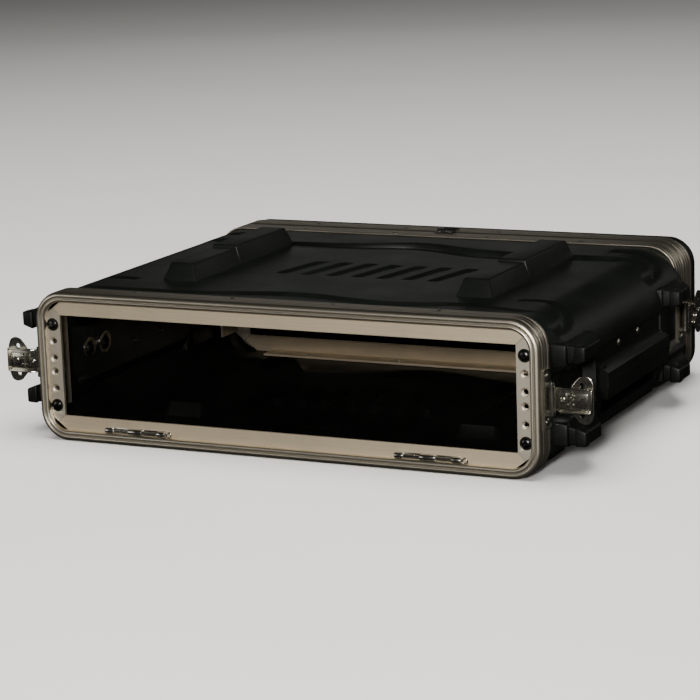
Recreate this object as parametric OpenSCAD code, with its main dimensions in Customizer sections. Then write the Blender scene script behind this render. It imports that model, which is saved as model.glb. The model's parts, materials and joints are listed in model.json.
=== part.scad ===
// Two-unit rack case: moulded shell, extruded metal valances, rack rails, butterfly latches,
// loose-pin hinge halves and a lift-off rear cover. Z is up, the rack opening faces -Y, and the
// origin is at the middle of the footprint, on the surface that the case stands on.

/* [Valance] */
// Outside width of the metal valance
ring_w = 496; // [494:1:498]
// Outside height of the metal valance
ring_h = 140; // [138:1:142]
// Outside radius of the valance corners
ring_r = 28; // [26:1:30]
// How far the valance wraps round the shell
wrap_d = 24; // [22:1:26]
// How far the nose stands in front of the rack rails
nose_d = 6; // [5:0.5:6]

/* [Rack opening] */
// Clear width between the rails
open_w = 449.6; // [448:0.2:450]
// Clear height of the opening
open_h = 94.4; // [92:0.2:95]
// Distance between the two columns of rack holes
hole_span = 465.1; // [465.1:0.1:465.9]
// Diameter of the rack holes
hole_d = 4.8; // [4.8:0.1:5.2]

/* [Shell] */
// Depth of the whole case, nose to rear face
overall_d = 436; // [434:1:440]
// Width of the shell between the valances
body_w = 524; // [518:1:526]
// Height of the shell between the valances
body_h = 132.6; // [131:0.2:133]
// Radius of the shell's long edges
body_r = 44; // [38:1:46]
// Wall of the moulding
wall = 4; // [3.5:0.1:4.5]

/* [Stacking treads] */
// Height of a tread above the top panel
tread_h = 18.2; // [16:0.2:18.4]
// Width of a tread at its foot
tread_w = 38; // [34:1:40]
// Distance from the middle of the case to a tread
tread_x = 149; // [140:1:154]

/* [Hidden] */
$fn = 64;
mid_z = ring_h / 2;
rack_y = nose_d - overall_d / 2;
ring_t = 1.8;
fit = 0.1;
ring_x = ring_w / 2;
ring_z = ring_h / 2;
front_end = wrap_d - nose_d;
body_back = 378;
split_gap = 0.2;
cover_back = overall_d - nose_d;
rear_start = body_back - wrap_d;
rear_face = body_back - split_gap - nose_d;
collar_w = ring_w - 2 * ring_t - 2 * fit;
collar_h = ring_h - 2 * ring_t - 2 * fit;
collar_r = ring_r - ring_t - fit;
lip_x = 238.6;
lip_z = 60.6;
rail_y = 3;
rail_leg = 36;
rail_x = 241.8;
flange_z = 63.8;
// Where the mitred strip corners are cut back, clear of the rounded valance
cut_x = 218.3;
cut_z = 46.5;
mitre = 6.8;
top_z = body_h / 2;
strip_z = top_z - 2.1;
shell_front = 33;
shell_back = 343;
unit_holes = [-38.1, -22.225, -6.35, 6.35, 22.225, 38.1];
tread_front = 90;
tread_split = 182;
tread_back = 296;
block_x = 279;
block_front = 21;
recess_roof = -54.5;
// Handles
handle_y0 = 101;
handle_y1 = 267;
handle_top = 25;
handle_low = -21;
handle_screw_y = [156, 207];
boss_x = 238.5;
pocket_x = 251;
pocket_z = 21.6;
pocket_len = 57;
pocket_back = 286;
boss_y0 = 55;
well_x = 242.5;
well_rivet_z = -9;
wall_bolt_y = [70, 98];
rail_rivet_y = 24;
// Latches: hinge axis, then sizes along the link
latch_ax = 253.6;
front_ay = 8;
rear_ay = 364.8;
latch_rivet_y = [front_ay - 1, rear_face - front_ay + 1];
latch_pin_r = 1.5;
link_len = 36;
stud_u = 27;
link_lip = -0.4;
rivet_w = 20;
// Hinge halves on the bottom strip
hinge_len = 62;
hinge_x = [-149, 142];
hinge_y = -2.9;
hinge_z = -57.2;
hinge_pin_r = 1.3;
valance_rivet_x = [-150, -50, 50, 150];

// ---- Helpers. Everything is drawn about the middle of the rack opening, then put in place ----

module place() { translate([0, rack_y, mid_z]) children(); }

module along_y(y0, y1) {
    translate([0, y1, 0]) rotate([90, 0, 0]) linear_extrude(y1 - y0) children();
}

module along_x(x0, x1) {
    translate([x0, 0, 0]) rotate([90, 0, 90]) linear_extrude(x1 - x0) children();
}

module box(lo, hi) { translate(lo) cube(hi - lo); }

module rounded(w, h, r) {
    square([w - 2 * r, h], center = true);
    square([w, h - 2 * r], center = true);
    for (i = [-1, 1], j = [-1, 1]) translate([i * (w / 2 - r), j * (h / 2 - r)]) circle(r);
}

module frame2d(w, h, r, t) {
    difference() {
        rounded(w, h, r);
        rounded(w - 2 * t, h - 2 * t, r - t);
    }
}

module pin_x(x0, x1, y, z, r) { translate([x0, y, z]) rotate([0, 90, 0]) cylinder(r = r, h = x1 - x0); }

module pin_y(y0, y1, x, z, r) { translate([x, y0, z]) rotate([-90, 0, 0]) cylinder(r = r, h = y1 - y0); }

module pin_z(z0, z1, x, y, r) { translate([x, y, z0]) cylinder(r = r, h = z1 - z0); }

// Low dome with its foot on z = 0
module dome(r, h) {
    big = (r * r + h * h) / (2 * h);
    intersection() {
        translate([0, 0, h - big]) sphere(big);
        cylinder(r = r, h = h);
    }
}

// Shows a right-hand piece on side 1 and its mirror image on side -1
module on_side(side) { if (side > 0) children(); else mirror([1, 0, 0]) children(); }

// ---- Shell ----

// Wavy front and rear limits of the top panel
function bump(x, at, wide) = exp(-pow((x - at) / wide, 2));
function front_wave(x) = 46 + 21 * bump(x, -13, 70) + 17 * bump(x, 152, 45);
function rear_wave(x) = 292 + 26 * bump(x, 0, 55);

module front_strip() {
    edge = [for (x = [-235:10:235]) [x, front_wave(x)]];
    polygon(concat([[-235, front_end + 0.2]], edge, [[235, front_end + 0.2]]));
}

module rear_pad() {
    edge = [for (x = [-215:10:215]) [x, rear_wave(x)]];
    polygon(concat([[-215, rear_start + 4]], edge, [[215, rear_start + 4]]));
}

module rear_gouge() {
    top = [for (x = [-30:10:120]) [x, rear_wave(x) + 0.5]];
    low = [for (x = [110:-10:-20]) [x, rear_wave(x) - 1 - 24 * bump(x, 60, 45)]];
    polygon(concat(top, low));
}

// One stacking tread: a bar with sloping sides and ends
module tread(y0, y1, grow, h) {
    half = tread_w / 2 + grow;
    slope = 6;
    intersection() {
        along_y(y0 - grow, y1 + grow)
            polygon([[-half, -1], [-half, 0], [slope - half, h], [half - slope, h], [half, 0], [half, -1]]);
        along_x(-half - 1, half + 1)
            polygon([[y0 - grow, -1], [y0 - grow, 0], [y0 - grow + 9, h], [y1 + grow - 9, h],
                [y1 + grow, 0], [y1 + grow, -1]]);
    }
}

module treads() {
    for (i = [-1, 1]) translate([i * tread_x, 0, top_z]) {
        tread(tread_front, tread_split, 0, tread_h);
        tread(tread_split - 4, tread_back, 0, tread_h);
    }
}

// Corner blocks that guard the latches; up is 1 above the latch and -1 below it
module block(y0, y1, y2) {
    intersection() {
        translate([0, 0, 20]) linear_extrude(30)
            polygon([[240, y0], [block_x, y0], [block_x, y1], [255, y2], [240, y2]]);
        along_y(y0, y2) polygon([[240, 22.5], [256, 24], [block_x, 30.5], [block_x, 44.5], [240, 45.5]]);
    }
}

module blocks() {
    for (i = [0, 1], k = [0, 1]) mirror([i, 0, 0]) mirror([0, 0, k]) difference() {
        union() {
            block(block_front, 60, 88);
            block(272, 304, 342);
        }
        for (y = [block_front, 272]) box([261, y - 1, 20], [269, y + 3, 50]);
    }
}

// Row of plain slanting bars sunk in the top panel
module panel_bars() {
    for (n = [0:6]) translate([-78 + 26 * n, 0]) polygon([[0, 150], [13, 150], [25, 214], [12, 214]]);
}

module outer_shell() {
    along_y(-3.5, shell_front + wall) rounded(collar_w, collar_h, collar_r);
    along_y(shell_front, shell_back) rounded(body_w, body_h, body_r);
    along_y(shell_back - wall, body_back - 2.6) rounded(collar_w, collar_h, collar_r);
    translate([0, 0, top_z - 2]) linear_extrude(3.9) rear_pad();
    treads();
    blocks();
}

module body_shell() {
    color("#1d1f1d") place() difference() {
        union() {
            difference() {
                outer_shell();
                along_y(-4, body_back) rounded(collar_w - 2 * wall, collar_h - 2 * wall, collar_r - wall);
                along_y(shell_front + wall, shell_back - wall)
                    rounded(body_w - 2 * wall, body_h - 2 * wall, body_r - wall);
                for (i = [-1, 1]) translate([i * tread_x, 0, top_z - wall]) {
                    tread(tread_front, tread_split, -wall, tread_h);
                    tread(tread_split, tread_back, -wall, tread_h);
                }
                translate([0, 0, strip_z]) linear_extrude(10) front_strip();
                translate([0, 0, top_z - 2.4]) linear_extrude(10) rear_gouge();
                translate([0, 0, top_z - 1.8]) linear_extrude(10) panel_bars();
                translate([0, 0, -top_z - 1]) linear_extrude(2.8) panel_bars();
            }
            // floor bosses over the stacking recesses, bar row in the floor, and handle wells
            for (i = [-1, 1]) translate([i * tread_x, 0, -top_z + 1])
                tread(tread_front, tread_back, 3.5, recess_roof + top_z + 2.5);
            translate([0, 0, 1 - top_z]) linear_extrude(wall + 2) panel_bars();
            for (i = [0, 1]) mirror([i, 0, 0]) {
                box([boss_x, boss_y0, -40], [body_w / 2 - 3, handle_y1 + 4, handle_top + 3]);
                for (y = [shell_front, pocket_back - wall])
                    box([pocket_x - wall, y, -pocket_z - wall],
                        [body_w / 2 - 2, y + pocket_len + wall, pocket_z + wall]);
            }
        }
        for (i = [-1, 1]) translate([i * tread_x, 0, -top_z])
            tread(tread_front, tread_back, 0.8, recess_roof + top_z);
        translate([0, 0, -top_z - 1]) linear_extrude(2.8) panel_bars();
        for (i = [0, 1]) mirror([i, 0, 0]) {
            // finger well behind the grip, then the seat of the handle's flange
            box([well_x, handle_y0 + 6, -36], [body_w / 2 + 9, handle_y1 - 6, 4]);
            box([body_w / 2 - 5, handle_y0, handle_low - 1], [body_w / 2 + 9, handle_y1, handle_top]);
            for (y = handle_screw_y, z = [well_rivet_z, 18.5]) pin_x(228, 262, y, z, 2.1);
            for (y = wall_bolt_y) pin_x(230, 251, y, 1, 3.1);
            // pockets that the opened latches fold back into
            for (y = [shell_front - 1, pocket_back])
                box([pocket_x, y, -pocket_z], [body_w / 2 + 9, y + pocket_len + 1, pocket_z]);
        }
        rivet_bores();
    }
}

// Bores of every rivet that goes through a valance and the shell
module rivet_bores() {
    for (x = valance_rivet_x, y = [12, rear_face - 12, body_back + 12], k = [0, 1])
        mirror([0, 0, k]) pin_z(60, ring_z + 1, x, y, 1.6);
    for (i = [0, 1], y = latch_rivet_y, z = [-rivet_w, rivet_w])
        mirror([i, 0, 0]) pin_x(236, 252, y, z, 2.05);
    for (i = [0, 1], z = [-11, 11], y = [rail_rivet_y, rear_face - rail_rivet_y])
        mirror([i, 0, 0]) pin_x(230, 264, y, z, 2.05);
    for (x = [-6, 6]) pin_z(60, ring_z + 1, x, body_back - 6, 1.3);
}

// ---- Valances ----

// Extruded edge profile: wrap, face lip and return; front is the side that the lip is on
module valance() {
    difference() {
        union() {
            along_y(0, wrap_d) frame2d(ring_w, ring_h, ring_r, ring_t);
            along_y(0, 2) difference() {
                rounded(ring_w, ring_h, ring_r);
                rounded(2 * lip_x, 2 * lip_z, 18.5);
            }
            along_y(0, nose_d - 0.2) frame2d(2 * lip_x + 2.4, 2 * lip_z + 2.4, 19.7, 1.2);
        }
        // two shallow lines run round the wrap
        for (y = [6.4, 19]) along_y(y, y + 1) frame2d(ring_w + 1, ring_h + 1, ring_r + 0.5, 1.1);
    }
}

module front_valance() {
    color("#c9b79a") place() difference() {
        translate([0, -nose_d, 0]) valance();
        rivet_bores();
    }
}

module rear_valance() {
    color("#c9b79a") place() difference() {
        translate([0, body_back - split_gap, 0]) mirror([0, 1, 0]) valance();
        rivet_bores();
    }
}

// ---- Strips and rack rails round the openings; y is the face, and back is -1 on the rear ones ----

module strip_outline() {
    x = open_w / 2;
    z = open_h / 2;
    polygon([[-x, z], [x, z], [x + mitre - 0.2, z + mitre], [cut_x, flange_z],
        [-cut_x, flange_z], [-x - mitre + 0.2, z + mitre]]);
}

module rail_outline() {
    x = open_w / 2;
    z = open_h / 2;
    polygon([[x, -z + 0.3], [x, z - 0.3], [x + mitre, z + mitre - 0.3], [rail_x, cut_z],
        [rail_x, -cut_z], [x + mitre, -z - mitre + 0.3]]);
}

module strip(up) {
    mirror([0, 0, up > 0 ? 0 : 1]) difference() {
        union() {
            along_y(0, 2) strip_outline();
            box([-200, 1, flange_z - 2], [200, 22, flange_z]);
        }
        for (x = valance_rivet_x) pin_z(60, ring_z, x, 12, 1.6);
    }
}

module rail() {
    difference() {
        union() {
            along_y(0, rail_y) rail_outline();
            box([rail_x - 2.4, 1, -44], [rail_x, rail_leg, 44]);
        }
        for (z = unit_holes) pin_y(-1, rail_y + 1, hole_span / 2, z, hole_d / 2);
        for (z = [-11, 11]) pin_x(230, 244, rail_rivet_y, z, 2.05);
        for (z = [-rivet_w, rivet_w]) pin_x(230, 244, front_ay - 1, z, 2.05);
    }
}

module to_rear() { translate([0, rear_face, 0]) mirror([0, 1, 0]) children(); }

module front_flange_top() { color("#cfbfa3") place() strip(1); }
module front_flange_bottom() {
    color("#cfbfa3") place() difference() {
        strip(-1);
        for (c = hinge_x, x = [-15, 15]) pin_y(-1, 4, c + x, hinge_z, 1.05);
    }
}
module front_rail_right() { color("#cfbfa3") place() rail(); }
module front_rail_left() { color("#cfbfa3") place() mirror([1, 0, 0]) rail(); }
module rear_flange_top() { color("#cfbfa3") place() to_rear() strip(1); }
module rear_flange_bottom() { color("#cfbfa3") place() to_rear() strip(-1); }
module rear_rail_right() { color("#cfbfa3") place() to_rear() rail(); }
module rear_rail_left() { color("#cfbfa3") place() mirror([1, 0, 0]) to_rear() rail(); }

// ---- Fasteners ----

module rack_screws() {
    color("#151515") place() for (x = [-hole_span / 2, hole_span / 2], z = [-38.1, 38.1]) {
        pin_y(-0.9, 12, x, z, hole_d / 2 - 0.1);
        translate([x, -0.9, z]) rotate([90, 0, 0]) difference() {
            dome(4.6, 2.8);
            for (a = [0, 90]) rotate(a) translate([-2.4, -0.5, 1.2]) cube([4.8, 1, 3]);
        }
    }
}

module cup_washers() {
    color("#101010") place() for (x = [-hole_span / 2, hole_span / 2], z = [-38.1, 38.1])
        translate([x, 0, z]) rotate([90, 0, 0]) difference() {
            cylinder(r1 = 5.7, r2 = 5, h = 0.9);
            translate([0, 0, -1]) cylinder(r = hole_d / 2, h = 3);
        }
}

// Row of valance rivets: domed on the top face, flush underneath so that the case sits flat
module ring_rivets(y) {
    for (x = valance_rivet_x) {
        for (k = [0, 1]) mirror([0, 0, k]) {
            pin_z(flange_z - 3, ring_z, x, y, 1.5);
            pin_z(flange_z - 3, flange_z - 2, x, y, 2.4);
        }
        translate([x, y, ring_z]) dome(2.6, 0.9);
    }
}

module front_valance_rivets() {
    color("#d8d0c0") place() ring_rivets(12);
}

module rear_valance_rivets() {
    color("#d8d0c0") place() ring_rivets(rear_face - 12);
}

module rail_rivets() {
    color("#b9b9b4") place()
        for (i = [0, 1], z = [-11, 11], y = [rail_rivet_y, rear_face - rail_rivet_y]) mirror([i, 0, 0]) {
            pin_x(rail_x - 2.6, collar_w / 2 + 0.2, y, z, 2);
            translate([rail_x - 2.4, y, z]) rotate([0, -90, 0]) dome(3.8, 1.4);
            translate([collar_w / 2, y, z]) rotate([0, 90, 0]) dome(3.8, 1.2);
        }
}

// ---- Handles ----

module handle() {
    x = body_w / 2;
    difference() {
        union() {
            // flange with the screws, two end cheeks and the bowed grip, open below for fingers
            box([x - 4.8, handle_y0 + 0.2, 6], [x - 1.6, handle_y1 - 0.2, handle_top - 0.2]);
            for (y = [handle_y0 + 0.2, handle_y1 - 8.2])
                box([x - 4.8, y, handle_low], [x + 4, y + 8, 8]);
            along_y(handle_y0 + 0.2, handle_y1 - 0.2)
                polygon([[x - 4.8, 8], [x + 2, 8], [x + 8, 3], [x + 9, -5], [x + 7, handle_low],
                    [x + 3, handle_low], [x + 4.4, -5], [x + 3.6, 1], [x, 4], [x - 4.8, 4]]);
        }
        for (y = handle_screw_y) pin_x(x - 10, x + 1, y, 18.5, 2.1);
    }
}

module handle_right() { color("#1a1b1a") place() handle(); }
module handle_left() { color("#1a1b1a") place() mirror([1, 0, 0]) handle(); }

module handle_screws() {
    color("#dedcd4") place() for (i = [0, 1], y = handle_screw_y) mirror([i, 0, 0]) {
        pin_x(boss_x - 0.1, body_w / 2 - 1.5, y, 18.5, 2);
        translate([body_w / 2 - 1.6, y, 18.5]) rotate([0, 90, 0]) dome(3.6, 1.5);
        pin_x(boss_x - 0.1, well_x + 0.1, y, well_rivet_z, 2);
        translate([well_x, y, well_rivet_z]) rotate([0, 90, 0]) dome(3.6, 1.2);
        for (z = [well_rivet_z, 18.5]) translate([boss_x, y, z]) rotate([0, -90, 0]) dome(4.6, 1.6);
    }
}

module wall_bolts() {
    color("#8d8e8a") place() for (i = [0, 1], y = wall_bolt_y) mirror([i, 0, 0]) {
        pin_x(boss_x - 0.5, 251, y, 1, 3);
        pin_x(boss_x - 1.3, boss_x, y, 1, 11);
        translate([boss_x - 1.3, y, 1]) rotate([0, -90, 0]) dome(6.5, 3.2);
    }
}

// ---- Hinge halves ----

// Three knuckles on a short leaf; the gaps between them take the knuckles of the front cover
module hinge_leaf() {
    knuckle_r = 2.7;
    half = hinge_len / 2;
    difference() {
        union() {
            box([-half, -0.8, hinge_z - 3], [half, -0.05, hinge_z + 2.6]);
            for (x = [[-half, 8 - half], [-7, 7], [half - 8, half]]) {
                pin_x(x[0], x[1], hinge_y, hinge_z, knuckle_r);
                box([x[0], hinge_y, hinge_z - knuckle_r], [x[1], -0.05, hinge_z]);
            }
            for (x = [-15, 15]) {
                pin_y(-1.4, 2.6, x, hinge_z, 1);
                pin_y(-1.4, -0.7, x, hinge_z, 1.5);
                pin_y(2.05, 2.6, x, hinge_z, 1.8);
            }
        }
        pin_x(-half - 1, half + 1, hinge_y, hinge_z, hinge_pin_r + 0.06);
    }
}

module hinge_pin() {
    half = hinge_len / 2;
    pin_x(-half - 0.6, half + 1.6, hinge_y, hinge_z, hinge_pin_r);
    // pull ring on the end of the pin
    translate([half + 4, hinge_y, hinge_z]) rotate([90, 0, 0])
        rotate_extrude() translate([2.2, 0]) circle(0.8);
}

module hinge_leaf_left() { color("#bdbdb8") place() translate([hinge_x[0], 0, 0]) hinge_leaf(); }
module hinge_leaf_right() { color("#bdbdb8") place() translate([hinge_x[1], 0, 0]) hinge_leaf(); }
module hinge_pin_left() { color("#cfcfca") place() translate([hinge_x[0], 0, 0]) hinge_pin(); }
module hinge_pin_right() { color("#cfcfca") place() translate([hinge_x[1], 0, 0]) hinge_pin(); }

// ---- Keeper clip: a springy strip that holds the top edge of the rear cover in line ----

module keeper_clip() {
    z = ring_z;
    color("#a9a8a2") place() difference() {
        union() {
            box([-10, body_back - 10, z + 0.02], [10, body_back - 2, z + 1]);
            box([-8, body_back - 3, z + 0.3], [8, body_back + 12, z + 1.6]);
            pin_x(-10, 10, body_back - 1.4, z + 1.9, 1.6);
            box([-8, body_back + 11, z + 0.3], [8, body_back + 13, z + 3]);
        }
        for (x = [-6, 6]) pin_z(z - 4, z + 4, x, body_back - 6, 1.3);
    }
}

module keeper_rivets() {
    color("#d8d8d2") place() for (x = [-6, 6]) {
        pin_z(collar_h / 2 - wall, ring_z + 1.05, x, body_back - 6, 1.2);
        translate([x, body_back - 6, ring_z + 1]) dome(2.2, 1);
    }
}

// ---- Latches. Drawn with the hinge axis at the origin, u along the link, v out to the wing ----

// Puts a latch piece in place: end is 1 at the front, where it stands open, and -1 at the rear,
// where it lies closed; side is 1 on the right
module latch_at(end, side) {
    on_side(side) translate([latch_ax, end > 0 ? front_ay : rear_ay, 0]) {
        if (end > 0) children();
        else rotate([0, 0, 90]) mirror([0, 1, 0]) children();
    }
}

// The base bolts to the side of the valance, so it is drawn in the case's own directions
module latch_base(end) {
    y = end > 0 ? front_ay : rear_ay;
    difference() {
        union() {
            box([ring_x + 0.02, y - 7, -26], [ring_x + 2, y + 7, 26]);
            for (k = [0, 1]) mirror([0, 0, k]) {
                pin_z(10.6, 14, latch_ax, y, 3);
                box([ring_x + 0.5, y - 3, 10.6], [latch_ax, y + 3, 14]);
            }
        }
        pin_z(-20, 20, latch_ax, y, latch_pin_r + 0.02);
        for (z = [-rivet_w, rivet_w]) pin_x(240, 252, latch_rivet_y[end > 0 ? 0 : 1], z, 2.05);
    }
}

module latch_pin() { pin_z(-14.8, 14.8, 0, 0, latch_pin_r); }

// Hinged link: a barrel, a pressed channel and an end wall that pulls on the catch
module latch_link() {
    difference() {
        union() {
            pin_z(-10.2, 10.2, 0, 0, 2.9);
            box([0, 1.7, -10.2], [link_len, 2.9, 10.2]);
            for (w = [-11, 9.8]) box([5, -2.1, w], [link_len, 2.9, w + 1.2]);
            box([link_len - 1.2, link_lip, -10.2], [link_len, 2.9, 10.2]);
            box([12, 1, -4], [stud_u + 4, 1.8, 4]);
        }
        pin_z(-20, 20, 0, 0, latch_pin_r + 0.06);
        translate([stud_u, 5, 0]) rotate([90, 0, 0]) cylinder(r = 3.02, h = 8);
    }
}

// The stud is fixed in the link, and the wing turns on it
module latch_stud() {
    translate([stud_u, 5.3, 0]) rotate([90, 0, 0]) cylinder(r = 3, h = 5.9);
    translate([stud_u, 5, 0]) rotate([-90, 0, 0]) dome(5, 1.4);
}

module latch_wing() {
    lobe = 9.2;
    at = 12.2;
    difference() {
        union() {
            translate([stud_u, 4.8, 0]) rotate([90, 0, 0]) linear_extrude(1.6) {
                for (w = [-at, at]) translate([0, w]) circle(lobe);
                polygon([[-8, at - 2], [8, at - 2], [5.6, 0], [8, 2 - at], [-8, 2 - at], [-5.6, 0]]);
            }
        }
        translate([stud_u, 9, 0]) rotate([90, 0, 0]) cylinder(r = 3.08, h = 9);
        for (w = [-13, 13]) translate([stud_u - 1, 9, w]) rotate([90, 0, 0]) cylinder(r = 2.4, h = 9);
    }
}

module bright() { color("#d5d4ce") place() children(); }

module front_latch_base_left() { bright() on_side(-1) latch_base(1); }
module front_latch_pin_left() { bright() latch_at(1, -1) latch_pin(); }
module front_latch_link_left() { bright() latch_at(1, -1) latch_link(); }
module front_latch_stud_left() { bright() latch_at(1, -1) latch_stud(); }
module front_latch_wing_left() { bright() latch_at(1, -1) latch_wing(); }
module front_latch_base_right() { bright() on_side(1) latch_base(1); }
module front_latch_pin_right() { bright() latch_at(1, 1) latch_pin(); }
module front_latch_link_right() { bright() latch_at(1, 1) latch_link(); }
module front_latch_stud_right() { bright() latch_at(1, 1) latch_stud(); }
module front_latch_wing_right() { bright() latch_at(1, 1) latch_wing(); }
module rear_latch_base_left() { bright() on_side(-1) latch_base(-1); }
module rear_latch_pin_left() { bright() latch_at(-1, -1) latch_pin(); }
module rear_latch_link_left() { bright() latch_at(-1, -1) latch_link(); }
module rear_latch_stud_left() { bright() latch_at(-1, -1) latch_stud(); }
module rear_latch_wing_left() { bright() latch_at(-1, -1) latch_wing(); }
module rear_latch_base_right() { bright() on_side(1) latch_base(-1); }
module rear_latch_pin_right() { bright() latch_at(-1, 1) latch_pin(); }
module rear_latch_link_right() { bright() latch_at(-1, 1) latch_link(); }
module rear_latch_stud_right() { bright() latch_at(-1, 1) latch_stud(); }
module rear_latch_wing_right() { bright() latch_at(-1, 1) latch_wing(); }

module latch_rivets() {
    bright() for (i = [0, 1], y = latch_rivet_y, z = [-rivet_w, rivet_w]) mirror([i, 0, 0]) {
        pin_x(rail_x - 2.5, ring_x + 2.05, y, z, 2);
        translate([ring_x + 2, y, z]) rotate([0, 90, 0]) dome(3.6, 1.6);
        translate([rail_x - 2.4, y, z]) rotate([0, -90, 0]) dome(3.2, 1);
    }
}

// ---- Rear cover ----

module cover_shell() {
    color("#1d1f1d") place() difference() {
        union() {
            along_y(body_back + 2.6, cover_back - 12) rounded(collar_w, collar_h, collar_r);
            hull() {
                along_y(cover_back - 12.5, cover_back - 12) rounded(collar_w, collar_h, collar_r);
                along_y(cover_back - 4, cover_back - 3.5) rounded(collar_w - 6, collar_h - 6, collar_r - 3);
                along_y(cover_back - 0.5, cover_back) rounded(collar_w - 20, collar_h - 20, collar_r - 10);
            }
        }
        along_y(body_back, cover_back - 14)
            rounded(collar_w - 2 * wall, collar_h - 2 * wall, collar_r - wall);
        along_y(cover_back - 15, cover_back - wall)
            rounded(collar_w - 5 * wall, collar_h - 5 * wall, collar_r - 2.5 * wall);
        along_y(cover_back - 1.6, cover_back + 1) frame2d(400, 70, 12, 10);
        rivet_bores();
        catch_bores();
    }
}

module cover_valance() {
    color("#c9b79a") place() difference() {
        translate([0, body_back + split_gap, 0]) valance();
        rivet_bores();
        catch_bores();
    }
}

module catch_bores() {
    for (i = [0, 1], z = [-4.5, 4.5]) mirror([i, 0, 0]) pin_x(236, 252, rear_ay + 23, z, 1.55);
}

// Strike that the closed link pulls on
module cover_catch() {
    y = rear_ay;
    difference() {
        union() {
            box([ring_x + 0.02, y + 18, -8], [ring_x + 1.4, y + 33, 8]);
            box([ring_x + 0.5, y + 29, -8], [latch_ax + link_lip - 0.6, y + 31, 8]);
        }
        for (z = [-4.5, 4.5]) pin_x(240, 252, y + 23, z, 1.55);
    }
}

module cover_catch_right() { bright() cover_catch(); }
module cover_catch_left() { bright() mirror([1, 0, 0]) cover_catch(); }

module cover_rivets() {
    color("#d8d0c0") place() {
        ring_rivets(body_back + 12);
        for (i = [0, 1], z = [-4.5, 4.5]) mirror([i, 0, 0]) {
            pin_x(241, ring_x + 1.45, rear_ay + 23, z, 1.5);
            translate([ring_x + 1.4, rear_ay + 23, z]) rotate([0, 90, 0]) dome(2.4, 1);
            pin_x(241, 241.9, rear_ay + 23, z, 2.6);
        }
    }
}

body_shell();
front_valance();
rear_valance();
front_flange_top();
front_flange_bottom();
front_rail_left();
front_rail_right();
rear_flange_top();
rear_flange_bottom();
rear_rail_left();
rear_rail_right();
rack_screws();
cup_washers();
front_valance_rivets();
rear_valance_rivets();
rail_rivets();
handle_left();
handle_right();
handle_screws();
wall_bolts();
hinge_leaf_left();
hinge_leaf_right();
hinge_pin_left();
hinge_pin_right();
keeper_clip();
keeper_rivets();
front_latch_base_left();
front_latch_pin_left();
front_latch_link_left();
front_latch_stud_left();
front_latch_wing_left();
front_latch_base_right();
front_latch_pin_right();
front_latch_link_right();
front_latch_stud_right();
front_latch_wing_right();
rear_latch_base_left();
rear_latch_pin_left();
rear_latch_link_left();
rear_latch_stud_left();
rear_latch_wing_left();
rear_latch_base_right();
rear_latch_pin_right();
rear_latch_link_right();
rear_latch_stud_right();
rear_latch_wing_right();
latch_rivets();
cover_shell();
cover_valance();
cover_catch_left();
cover_catch_right();
cover_rivets();
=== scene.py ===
import json
import math
import bmesh
import bpy
from mathutils import Matrix, Vector


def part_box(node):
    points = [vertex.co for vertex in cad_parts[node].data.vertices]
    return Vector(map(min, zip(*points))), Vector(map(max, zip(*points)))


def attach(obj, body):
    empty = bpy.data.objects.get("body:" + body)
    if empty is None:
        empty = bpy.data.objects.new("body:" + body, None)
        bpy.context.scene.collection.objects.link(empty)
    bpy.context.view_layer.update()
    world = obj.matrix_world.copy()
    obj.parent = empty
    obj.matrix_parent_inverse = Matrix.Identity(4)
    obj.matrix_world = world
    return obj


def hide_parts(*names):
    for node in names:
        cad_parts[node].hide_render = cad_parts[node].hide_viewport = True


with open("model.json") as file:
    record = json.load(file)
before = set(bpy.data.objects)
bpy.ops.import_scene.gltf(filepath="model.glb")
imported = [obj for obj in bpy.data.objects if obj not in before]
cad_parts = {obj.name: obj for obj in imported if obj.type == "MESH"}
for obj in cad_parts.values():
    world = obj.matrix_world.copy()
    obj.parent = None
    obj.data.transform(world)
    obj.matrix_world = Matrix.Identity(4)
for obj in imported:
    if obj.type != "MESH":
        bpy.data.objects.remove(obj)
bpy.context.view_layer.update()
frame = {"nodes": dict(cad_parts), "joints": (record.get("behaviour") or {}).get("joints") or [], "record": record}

mountPlaces = {m["name"]: Vector(m["pos_m"]) for m in frame["record"]["mounts"]}
rackCentre = mountPlaces["front_rack_holes_outer"]  # middle of the opening, on the face of the rails
millimetre = 0.001


def nodeBox(node):  # a node's corners in millimetres, measured from the middle of the opening
    low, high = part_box(node)
    return (low - rackCentre) / millimetre, (high - rackCentre) / millimetre


def clamp(value, low, high):
    return max(low, min(high, value))


def ease(t):  # smooth step from 0 to 1
    t = clamp(t, 0.0, 1.0)
    return t * t * (3 - 2 * t)


def hump(x, at, wide):
    return math.exp(-(((x - at) / wide) ** 2))


def vertsOf(geom):
    return [g for g in geom if isinstance(g, bmesh.types.BMVert)]


def edgesOf(verts):
    return list(dict.fromkeys(e for v in verts for e in v.link_edges))


def sharpEdges(bm, degrees):
    limit = math.radians(degrees)
    return [e for e in bm.edges if len(e.link_faces) == 2 and e.calc_face_angle() > limit]


def roundOver(bm, edges, offset, segments):
    return bmesh.ops.bevel(bm, geom=edges, offset=offset, segments=segments, profile=0.5,
                           affect="EDGES", material=-1, clamp_overlap=True)


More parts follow.
